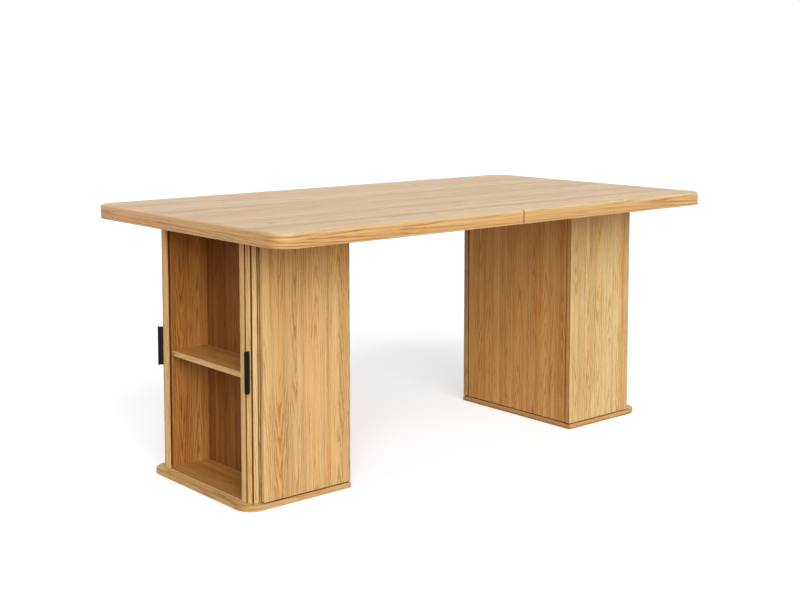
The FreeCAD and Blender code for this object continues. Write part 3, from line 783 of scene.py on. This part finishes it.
def dress_door(end, side, name, is_open):
    low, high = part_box(name + "_lead_rail")
    middle = (low + high) / 2
    half_width = (high.y - low.y) / 2
    oak = single_slat_oak(name + "_lead_oak", middle, 0.0, half_width, LEAD_NUMBER, trailing=side)
    dress(name + "_lead_rail", oak)
    turn = SEAT_TURN if is_open else 0.0
    low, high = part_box(name + "_grip_slat")
    middle = (low + high) / 2
    middle.z = 0.0
    number = random.Random(name).uniform(4, 9)
    oak = single_slat_oak(name + "_grip_oak", middle, end * side * turn, SLAT_WIDTH / 2, number)
    dress(name + "_grip_slat", oak)
    dress(name + "_pull", BLACK_COAT)


# Modelling. A level face's normal has a Z over LEVEL, and an upright face's has one under UPRIGHT.

LEVEL = 0.9
UPRIGHT = 0.1
SLAT_ROUND_STEPS = 4
SLAT_SMOOTH = 40


def select_only(*pieces):
    bpy.ops.object.select_all(action="DESELECT")
    for piece in pieces:
        piece.select_set(True)
    bpy.context.view_layer.objects.active = pieces[0]


def edit(piece):
    select_only(piece)
    bpy.ops.object.mode_set(mode="EDIT")


def leave_edit():
    bpy.ops.object.mode_set(mode="OBJECT")


def pick(piece, kind, wanted):
    """In edit mode, select only the faces or edges that pass a test."""
    bpy.ops.mesh.select_mode(type=kind)
    bpy.ops.mesh.select_all(action="DESELECT")
    shape = bmesh.from_edit_mesh(piece.data)
    parts = shape.faces if kind == "FACE" else shape.edges
    for part in [part for part in parts if wanted(part)]:
        part.select_set(True)
    shape.select_flush_mode()
    bmesh.update_edit_mesh(piece.data)


def add_block(name, low, high):
    """A block between two corners, as the start of a piece."""
    low = Vector(low)
    high = Vector(high)
    bpy.ops.object.select_all(action="DESELECT")
    bpy.ops.mesh.primitive_cube_add(size=1, location=(low + high) / 2, scale=high - low)
    block = bpy.context.object
    block.name = name
    apply_place(block)
    return block


def apply_place(piece):
    select_only(piece)
    bpy.ops.object.transform_apply(location=True, rotation=True, scale=True)


def apply_modifiers(piece):
    select_only(piece)
    for modifier in list(piece.modifiers):
        bpy.ops.object.modifier_apply(modifier=modifier.name)


def copied(master, place):
    """A copy of a modelled piece with its own mesh, taken to its place."""
    piece = master.copy()
    piece.data = master.data.copy()
    bpy.context.collection.objects.link(piece)
    piece.data.transform(place)
    if place.is_negative:
        piece.data.flip_normals()
    return piece


def joined(name, pieces):
    select_only(*pieces)
    if len(pieces) > 1:
        bpy.ops.object.join()
    pieces[0].name = name
    pieces[0].data.name = name
    return pieces[0]


def discard(piece):
    bpy.data.meshes.remove(piece.data)


def give(piece, material):
    piece.data.materials.clear()
    piece.data.materials.append(material)


def smooth_by_angle(piece, degrees):
    select_only(piece)
    bpy.ops.object.shade_smooth_by_angle(angle=math.radians(degrees))


# Slats


def model_slat(name, face_inset, back_inset, end_inset):
    """A slat at seat 0, with rounded front edges and a tongue for the track at each end."""
    half = SLAT_WIDTH / 2
    low = (GRIP_LOW.x + back_inset, CORNER_Y - half, DOOR_BOTTOM + end_inset)
    high = (GRIP_HIGH.x - face_inset, CORNER_Y + half, DOOR_TOP - end_inset)
    slat = add_block(name, low, high)
    thickness = high[0] - low[0]
    shoulder = (thickness - (TONGUE_THICKNESS - 2 * end_inset)) / 2
    edit(slat)
    pick(slat, "FACE", lambda face: abs(face.normal.z) > LEVEL)
    bpy.ops.mesh.inset(thickness=shoulder)
    narrow = TONGUE_WIDTH / (SLAT_WIDTH - 2 * shoulder)
    bpy.ops.transform.resize(value=(1, narrow, 1))
    bpy.ops.mesh.extrude_region_shrink_fatten(TRANSFORM_OT_shrink_fatten={"value": TONGUE_LENGTH})
    front = high[0] - TINY
    pick(
        slat, "EDGE",
        lambda edge: all(v.co.x > front for v in edge.verts) and abs(edge_rise(edge)) > half,
    )
    bpy.ops.mesh.bevel(offset=SLAT_ROUND, segments=SLAT_ROUND_STEPS, affect="EDGES")
    leave_edit()
    remember_grain(slat, Vector((GRIP_LOW.x, CORNER_Y, 0.0)))
    give(slat, SLAT_OAK)
    smooth_by_angle(slat, SLAT_SMOOTH)
    return slat


def edge_rise(edge):
    return edge.verts[1].co.z - edge.verts[0].co.z


def remember_grain(piece, middle):
    """Keep where each point was modelled, across, deep and along, so that the grain stays on it."""
    layer = piece.data.attributes.new("grain", "FLOAT_VECTOR", "POINT")
    for vertex, entry in zip(piece.data.vertices, layer.data):
        place = vertex.co - middle
        entry.vector = (place.y, place.x, place.z)
    piece.data.attributes.new("number", "FLOAT", "POINT")


def seat_place(seat):
    """The move that takes a slat from seat 0 along the track to another seat."""
    if seat <= 0:
        return Matrix.Translation((0, seat * PITCH, 0))
    corner = Matrix.Translation((CORNER_X, CORNER_Y, 0))
    if seat <= SEATS_ON_CORNER:
        return corner @ Matrix.Rotation(seat * SEAT_TURN, 4, "Z") @ corner.inverted()
    distance = CORNER_X - POCKET_START + (seat - SEATS_ON_CORNER - 0.5) * PITCH
    in_line = corner @ Matrix.Rotation(QUARTER_TURN, 4, "Z") @ corner.inverted()
    return Matrix.Translation((-distance, 0, 0)) @ in_line


def seated_slats(name, mirror, masters):
    """A run of slats as one piece: a dictionary gives the modelled slat for each seat."""
    dice = random.Random(name)
    slats = []
    for seat, master in masters.items():
        slat = copied(master, mirror @ seat_place(seat))
        number = dice.uniform(0, 20)
        slat.data.attributes["number"].data.foreach_set("value", [number] * len(slat.data.vertices))
        slats.append(slat)
    return joined(name, slats)


# Canvas


def track_point(distance, radius):
    """The point at a distance along the canvas from the corner's start, negative on the front."""
    arc = radius * QUARTER_TURN
    if distance <= 0:
        return Vector((CORNER_X + radius, CORNER_Y + distance, 0))
    if distance < arc:
        angle = distance / radius
        return Vector((CORNER_X + radius * math.cos(angle), CORNER_Y + radius * math.sin(angle), 0))
    return Vector((CORNER_X - (distance - arc), CORNER_Y + radius, 0))


def model_canvas(name, mirror, start, finish):
    """The cloth along the backs of the slats, drawn in a little between one slat and the next."""
    low = DOOR_BOTTOM + CANVAS_END_INSET
    high = DOOR_TOP - CANVAS_END_INSET
    length = finish - start
    columns = round(length / (PITCH / CANVAS_COLUMNS_PER_SLAT))
    bpy.ops.object.select_all(action="DESELECT")
    bpy.ops.mesh.primitive_grid_add(x_subdivisions=columns, y_subdivisions=CANVAS_ROWS, size=1)
    cloth = bpy.context.object
    layer = cloth.data.attributes.new("grain", "FLOAT_VECTOR", "POINT")
    for vertex, entry in zip(cloth.data.vertices, layer.data):
        distance = start + (vertex.co.x + 0.5) * length
        height = low + (vertex.co.y + 0.5) * (high - low)
        slack = CANVAS_SLACK * math.sin(math.pi * distance / PITCH) ** 2
        vertex.co = track_point(distance, CANVAS_RADIUS - slack)
        vertex.co.z = height
        entry.vector = (distance, 0, height)
    cloth.data.transform(mirror)
    if not mirror.is_negative:
        cloth.data.flip_normals()
    thick = cloth.modifiers.new("thickness", "SOLIDIFY")
    thick.thickness = CANVAS_THICKNESS
    thick.offset = 0.0
    apply_modifiers(cloth)
    cloth.name = name
    cloth.data.name = name
    give(cloth, CANVAS)
    smooth_by_angle(cloth, SLAT_SMOOTH)
    return cloth, (high - low, length)


# Doors


def waiting_place(final):
    """How far across the table a point of a shut curtain waits, inside the open lead rail.

    The deeper it waits, the larger the share of the door's travel that it stands for.
    """
    if final >= WAIT_START:
        return final
    low, high = 0.0, 1.0
    for _ in range(WAIT_HALVINGS):
        share = (low + high) / 2
        reached = WAIT_START - WAIT_WIDTH * share - TRAVEL * share * share * (3 - 2 * share)
        if reached > final:
            low = share
        else:
            high = share
    return WAIT_START - WAIT_WIDTH * share


def add_slats(name, mirror, last_seat, masters):
    """A door's slats in two runs, one into its pocket and one across the front.

    The filler is a little smaller than the grip slat, which covers it when the door is open.
    """
    slat, front_slat, grip_filler = masters
    pocket_seats = {OPEN_GRIP_SEAT: grip_filler}
    for seat in range(OPEN_GRIP_SEAT + 1, last_seat + 1):
        pocket_seats[seat] = slat
    in_pocket = seated_slats(name + "_slats_in_pocket", mirror, pocket_seats)
    front_seats = {seat: front_slat for seat in range(FIRST_FRONT_SEAT, OPEN_GRIP_SEAT)}
    across = seated_slats(name + "_slats_across", mirror, front_seats)
    return in_pocket, across


def canvas_end(last_seat):
    """How far the canvas runs past the corner's start when this seat is the pocket's last."""
    end_x = POCKET_START - (last_seat - SEATS_ON_CORNER) * PITCH
    return CANVAS_RADIUS * QUARTER_TURN + CORNER_X - end_x


def add_open_door(name, mirror, side, masters):
    """A left door: its slats are in the pocket, and those for the front wait inside its lead rail.
    """
    in_pocket, across = add_slats(name, mirror, LAST_SEAT_OPEN, masters)
    for vertex in across.data.vertices:
        vertex.co.y = side * waiting_place(side * vertex.co.y)
    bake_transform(across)
    start = (OPEN_GRIP_SEAT + 0.5) * SEAT_TURN * CANVAS_RADIUS
    finish = canvas_end(LAST_SEAT_OPEN)
    canvas, size = model_canvas(name + "_canvas_in_pocket", mirror, start, finish)
    return [in_pocket, canvas], [in_pocket, across], [canvas]


def add_shut_door(name, mirror, side, masters):
    """A right door: its slats are across the front."""
    in_pocket, across = add_slats(name, mirror, LAST_SEAT_SHUT, masters)
    finish = canvas_end(LAST_SEAT_SHUT)
    corner_canvas, corner_size = model_canvas(name + "_canvas_in_pocket", mirror, 0.0, finish)
    start = (FIRST_FRONT_SEAT - 0.5) * PITCH
    front_canvas, front_size = model_canvas(name + "_canvas_across", mirror, start, 0.0)
    for piece in (across, front_canvas):
        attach(piece, "root")
        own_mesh(piece)
    return [in_pocket, corner_canvas], [in_pocket, across], [corner_canvas, front_canvas]


def add_doors():
    masters = (
        model_slat("slat", 0.0, 0.0, 0.0),
        model_slat("front slat", SHRINK, SHRINK, SHRINK),
        model_slat("grip filler", SHRINK, FILLER_BACK_INSET, SHRINK),
    )
    for end, cabinet, is_open in CABINETS:
        for side, side_name in SIDES:
            name = cabinet + "_" + side_name
            mirror = Matrix.Diagonal((end, side, 1, 1))
            add_door = add_open_door if is_open else add_shut_door
            riding, slats, canvases = add_door(name, mirror, side, masters)
            for piece in riding:
                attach(piece, "root")
            for piece in slats:
                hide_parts(name + "_curtain_slats")
            for piece in canvases:
                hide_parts(name + "_curtain_canvas")
            dress_door(end, side, name, is_open)
    for master in masters:
        discard(master)


# Screws and glides, modelled with their sizes as shares of the CAD ones

SCREW_FACETS = 20
HEAD_DEPTH = 0.6
TIP_LENGTH = 1.2
TIP_NARROWING = 0.25
CROSS_ARM = 0.55
CROSS_HALF_WIDTH = 0.11
CROSS_DEPTH = 0.45
CROSS_TAPER = 0.6
SCREW_SMOOTH = 30
GLIDE_FACETS = 40
SOLE_ROUND = 0.28
SOLE_ROUND_STEPS = 3
SOLE_LEVEL = 0.99
RIM_WIDTH = 0.5
WELL_WALL = 0.05
WELL_DEPTH = 0.35
NAIL_WALL = 0.04
NAIL_HEIGHT = 0.12
GLIDE_SMOOTH = 35


def solids_of(name):
    """The points of each separate solid in a CAD node."""
    shape = bmesh.new()
    shape.from_mesh(NODES[name].data)
    bmesh.ops.remove_doubles(shape, verts=shape.verts, dist=TINY)
    found = set()
    solids = []
    for first in shape.verts:
        if first in found:
            continue
        found.add(first)
        reached = [first]
        points = []
        while reached:
            vertex = reached.pop()
            points.append(vertex.co.copy())
            for edge in vertex.link_edges:
                other = edge.other_vert(vertex)
                if other not in found:
                    found.add(other)
                    reached.append(other)
        solids.append(points)
    shape.free()
    return solids


def widest_at(points, middle, direction, height):
    """The radius of a round solid where it is a height along its axis from its middle."""
    offsets = [point - middle for point in points]
    ring = [offset for offset in offsets if abs(offset.dot(direction) - height) < TINY]
    return max((offset - offset.dot(direction) * direction).length for offset in ring)


def measured_screw(points, direction):
    """A screw's place, the direction from its head to its tip, and its two radii and length."""
    middle = sum(points, Vector()) / len(points)
    heights = [(point - middle).dot(direction) for point in points]
    low, high = min(heights), max(heights)
    radii = [widest_at(points, middle, direction, height) for height in (low, high)]
    if radii[0] < radii[1]:
        direction = -direction
        low, high = -high, -low
        radii.reverse()
    head = Matrix.Translation(middle + direction * low)
    turn = direction.to_track_quat("Z", "Y").to_matrix().to_4x4()
    return head @ turn, radii[0], radii[1], high - low


def model_screw(head_radius, radius, length):
    """A countersunk screw with a cross recess, its head's face at the origin, its tip along +Z."""
    head_depth = HEAD_DEPTH * head_radius
    tip = TIP_LENGTH * radius
    shank = length - head_depth - tip
    bpy.ops.object.select_all(action="DESELECT")
    bpy.ops.mesh.primitive_cylinder_add(vertices=SCREW_FACETS, radius=head_radius, depth=head_depth)
    screw = bpy.context.object
    screw.location.z = head_depth / 2
    apply_place(screw)
    edit(screw)
    pick(screw, "FACE", lambda face: face.normal.z > LEVEL)
    shrink = radius / head_radius
    bpy.ops.transform.resize(value=(shrink, shrink, 1))
    bpy.ops.mesh.extrude_region_move(TRANSFORM_OT_translate={"value": (0, 0, shank)})
    bpy.ops.mesh.extrude_region_move(TRANSFORM_OT_translate={"value": (0, 0, tip)})
    bpy.ops.transform.resize(value=(TIP_NARROWING, TIP_NARROWING, 1))
    leave_edit()
    recess = screw.modifiers.new("recess", "BOOLEAN")
    recess.object = cross_cutter(head_radius)
    recess.operation = "DIFFERENCE"
    apply_modifiers(screw)
    discard(bpy.data.objects["cross cutter"])
    give(screw, ZINC)
    smooth_by_angle(screw, SCREW_SMOOTH)
    return screw


def cross_cutter(head_radius):
    """A cross that narrows with depth, to cut a screw's recess."""
    arm = CROSS_ARM * head_radius
    half = CROSS_HALF_WIDTH * head_radius
    depth = CROSS_DEPTH * head_radius
    cutter = add_block("cross cutter", (-half, -half, -depth / 4), (half, half, depth))
    edit(cutter)
    pick(cutter, "FACE", lambda face: abs(face.normal.z) < UPRIGHT)
    bpy.ops.mesh.extrude_faces_move(TRANSFORM_OT_shrink_fatten={"value": arm - half})
    pick(cutter, "FACE", lambda face: face.normal.z > LEVEL)
    bpy.ops.transform.resize(value=(CROSS_TAPER, CROSS_TAPER, 1))
    leave_edit()
    return cutter


def add_screws(node_name, body, direction=Vector((0, 0, 1))):
    """Screws in place of a CAD node's, each where the node has one."""
    measured = [measured_screw(points, direction) for points in solids_of(node_name)]
    master = model_screw(*measured[0][1:])
    dice = random.Random(node_name)
    copies = []
    for place, *_ in measured:
        turn = Matrix.Rotation(dice.uniform(0, QUARTER_TURN), 4, "Z")
        copies.append(copied(master, place @ turn))
    discard(master)
    piece = joined(node_name + "_with_recess", copies)
    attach(piece, body)
    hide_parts(node_name)


def add_all_screws():
    for node_name in ("beam_screws", "joining_plate_screws"):
        add_screws(node_name, "root")
    for end, cabinet, is_open in CABINETS:
        add_screws(cabinet + "_cabinet_screws", "root")
        add_screws(cabinet + "_fixing_screws", "root")
        for side, side_name in SIDES:
            turn = SEAT_TURN if is_open else 0.0
            outwards = Vector((end * math.cos(turn), side * math.sin(turn), 0))
            name = cabinet + "_" + side_name
            add_screws(name + "_pull_screws", name + "_grip", outwards)


def model_glide(radius, thickness):
    """A round foot with a domed sole and a nail sunk in its middle, its sole down at the origin."""
    bpy.ops.object.select_all(action="DESELECT")
    bpy.ops.mesh.primitive_cylinder_add(vertices=GLIDE_FACETS, radius=radius, depth=thickness)
    glide = bpy.context.object
    glide.location.z = thickness / 2
    apply_place(glide)
    edit(glide)
    pick(glide, "EDGE", lambda edge: all(v.co.z < TINY for v in edge.verts))
    bpy.ops.mesh.bevel(offset=SOLE_ROUND * thickness, segments=SOLE_ROUND_STEPS, affect="EDGES")
    pick(glide, "FACE", lambda face: face.normal.z < -SOLE_LEVEL)
    bpy.ops.mesh.inset(thickness=RIM_WIDTH * radius)
    bpy.ops.mesh.inset(thickness=WELL_WALL * radius)
    bpy.ops.transform.translate(value=(0, 0, WELL_DEPTH * thickness))
    bpy.ops.mesh.inset(thickness=NAIL_WALL * radius)
    bpy.ops.transform.translate(value=(0, 0, -NAIL_HEIGHT * thickness))
    leave_edit()
    give(glide, GREY_PLASTIC)
    smooth_by_angle(glide, GLIDE_SMOOTH)
    return glide


def add_glides(cabinet):
    name = cabinet + "_glides"
    low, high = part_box(name)
    feet = [sum(points, Vector()) / len(points) for points in solids_of(name)]
    radius = high.x - max(foot.x for foot in feet)
    master = model_glide(radius, high.z - low.z)
    places = [Matrix.Translation((foot.x, foot.y, low.z)) for foot in feet]
    piece = joined(name + "_domed", [copied(master, place) for place in places])
    discard(master)
    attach(piece, "root")
    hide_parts(name)


# Floor, light and camera


def add_sun():
    turn = Vector(SUN_DIRECTION).to_track_quat("Z", "Y").to_euler()
    bpy.ops.object.light_add(type="SUN", rotation=turn)
    sun = bpy.context.object
    sun.name = "sun"
    sun.data.energy = SUN_STRENGTH
    sun.data.angle = SUN_SPREAD


def seen_directly(tree):
    """1 for what the camera sees, straight or in a gloss or through glass, and 0 for light."""
    path = node(tree, "ShaderNodeLightPath")
    seen = calculate(tree, "MAXIMUM", path.outputs["Is Camera Ray"], path.outputs["Is Glossy Ray"])
    return calculate(tree, "MAXIMUM", seen, path.outputs["Is Transmission Ray"])


def make_world():
    world = bpy.data.worlds.new("studio")
    world.use_nodes = True
    tree = world.node_tree
    height = split(tree, node(tree, "ShaderNodeTexCoord").outputs["Generated"])["Z"]
    light = blend_colours(tree, remap(tree, height, *SKY_TURNS), SKY_ROUND, SKY_ABOVE)
    colour = blend_colours(tree, seen_directly(tree), light, WHITE)
    tree.links.new(colour, tree.nodes["Background"].inputs["Color"])
    bpy.context.scene.world = world


def make_floor():
    """A pale floor that looks white where nothing shades it."""
    bpy.ops.mesh.primitive_plane_add(size=FLOOR_SIZE)
    floor = bpy.context.object
    floor.name = "floor"
    material, tree, surface = new_material("floor")
    seen = seen_directly(tree)
    shade = blend_colours(tree, seen, FLOOR_BOUNCE, FLOOR_SEEN)
    tree.links.new(shade, surface.inputs["Base Color"])
    surface.inputs["Roughness"].default_value = DULL
    surface.inputs["Specular IOR Level"].default_value = 0.0
    surface.inputs["Emission Color"].default_value = WHITE
    tree.links.new(multiply(tree, seen, FLOOR_LIFT), surface.inputs["Emission Strength"])
    give(floor, material)


def make_camera():
    turn = (QUARTER_TURN - CAMERA_DIP, 0, CAMERA_TURN)
    bpy.ops.object.camera_add(location=CAMERA_PLACE, rotation=turn)
    camera = bpy.context.object
    camera.data.sensor_width = SENSOR_WIDTH
    camera.data.lens = LENS
    camera.data.shift_y = -SHIFT_DOWN
    bpy.context.scene.camera = camera


bpy.context.scene.view_settings.view_transform = "Standard"
make_world()
make_floor()
add_sun()
make_camera()
dress_tabletop()
for _, cabinet_name, _ in CABINETS:
    dress_cabinet(cabinet_name)
    add_glides(cabinet_name)
add_doors()
add_all_screws()
